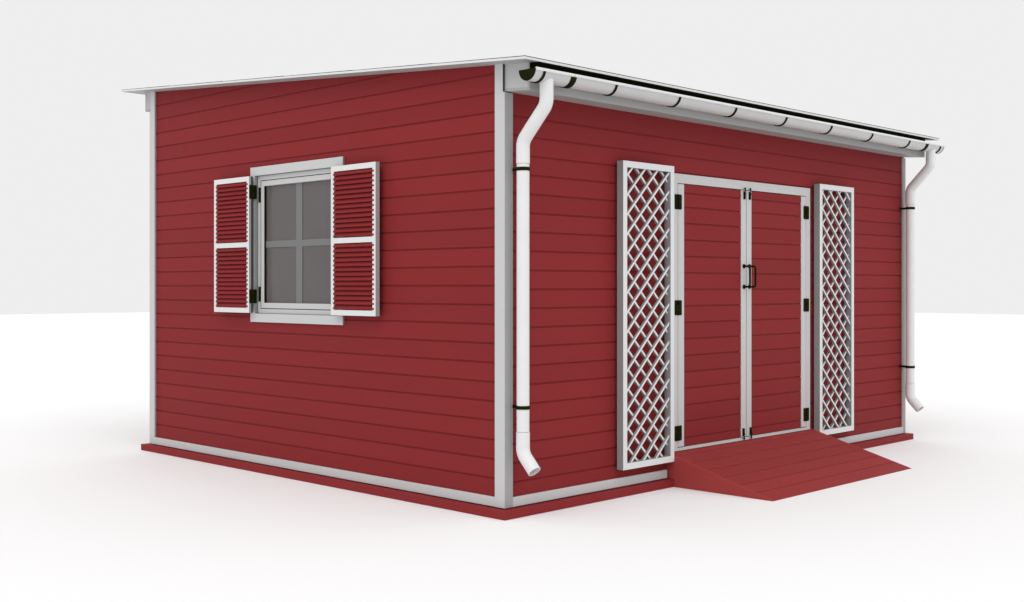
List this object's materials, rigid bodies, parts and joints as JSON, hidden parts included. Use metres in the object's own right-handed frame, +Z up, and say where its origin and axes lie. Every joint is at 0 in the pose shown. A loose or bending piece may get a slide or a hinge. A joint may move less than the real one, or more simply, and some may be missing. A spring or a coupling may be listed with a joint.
{
  "type": "lean-to garden shed",
  "caption": "Timber garden shed with one roof slope, boarded walls, double doors with a ramp, side trellises, a shuttered window, gutter and downpipes.",
  "frame": {"origin": "at ground level on the platform's underside, under the middle of the four walls", "axes": "+X right along the front wall as seen from outside, +Y from the front wall into the building, +Z up; the doors are on the -Y side and the window on the -X side"},
  "size_m": [6.286, 6.282, 3.5962],
  "materials": {
    "siding_red": "satin paint",
    "platform_red": "satin paint",
    "ramp_red": "satin paint",
    "trim_white": "satin paint",
    "gutter_white": "gloss",
    "metal_black": "satin",
    "roof_grey": "matt",
    "wall_timber": "planed",
    "floor_timber": "planed",
    "window_glass": "clear"
  },
  "bodies": {
    "shed": {"base_platform": "platform_red", "floor_deck": "floor_timber", "left_wall": "wall_timber", "right_wall": "wall_timber", "back_wall": "wall_timber", "front_wall_left": "wall_timber", "front_wall_right": "wall_timber", "front_wall_over_door": "wall_timber", "threshold_beam": "siding_red", "left_siding": "siding_red", "right_siding": "siding_red", "back_siding": "siding_red", "front_siding": "siding_red", "base_trims": "trim_white", "corner_trims": "trim_white", "rafters": "wall_timber", "roof_deck": "trim_white", "roof_sheet": "roof_grey", "eave_fascias": "trim_white", "eave_soffits": "trim_white", "eave_end_boards": "trim_white", "eave_drip_strip": "metal_black", "gutter": "gutter_white", "gutter_end_caps": "metal_black", "gutter_joint_rings": "metal_black", "gutter_brackets": "metal_black", "downpipe_neck_bends": "gutter_white", "downpipe_neck_slopes": "gutter_white", "downpipe_straights": "gutter_white", "downpipe_shoes": "gutter_white", "pipe_clamps": "metal_black", "trellis_frame_left": "trim_white", "trellis_frame_right": "trim_white", "trellis_lattice_left": "trim_white", "trellis_lattice_right": "trim_white", "ramp_deck": "ramp_red", "ramp_stringers": "ramp_red", "door_frame": "trim_white", "window_casing": "trim_white", "window_frame": "trim_white", "window_sash": "trim_white", "window_glass": "window_glass", "fixed_hinge_plates": "metal_black"},
    "door_left": {"door_left_panel": "siding_red", "door_left_stiles": "trim_white", "door_left_hinges": "metal_black", "door_left_handle": "metal_black", "door_left_bolts": "metal_black"},
    "door_right": {"door_right_panel": "siding_red", "door_right_stiles": "trim_white", "door_right_hinges": "metal_black", "door_right_handle": "metal_black", "door_right_bolts": "metal_black"},
    "shutter_left": {"shutter_left_frame": "trim_white", "shutter_left_louvres": "siding_red", "shutter_left_hinges": "metal_black"},
    "shutter_right": {"shutter_right_frame": "trim_white", "shutter_right_louvres": "siding_red", "shutter_right_hinges": "metal_black"}
  },
  "joints": [
    {"name": "door_left_hinge", "type": "hinge", "parent": "shed", "child": "door_left", "pos_m": [-1.00275, -2.488, 1.38], "axis": [0, 0, -1], "range_deg": [0, 150]},
    {"name": "door_right_hinge", "type": "hinge", "parent": "shed", "child": "door_right", "pos_m": [1.00275, -2.488, 1.38], "axis": [0, 0, 1], "range_deg": [0, 150]},
    {"name": "shutter_left_hinge", "type": "hinge", "parent": "shed", "child": "shutter_left", "pos_m": [-3.041, 0.6125, 1.995], "axis": [0, 0, 1], "range_deg": [0, 180]},
    {"name": "shutter_right_hinge", "type": "hinge", "parent": "shed", "child": "shutter_right", "pos_m": [-3.041, -0.5525, 1.995], "axis": [0, 0, -1], "range_deg": [0, 180]}
  ]
}
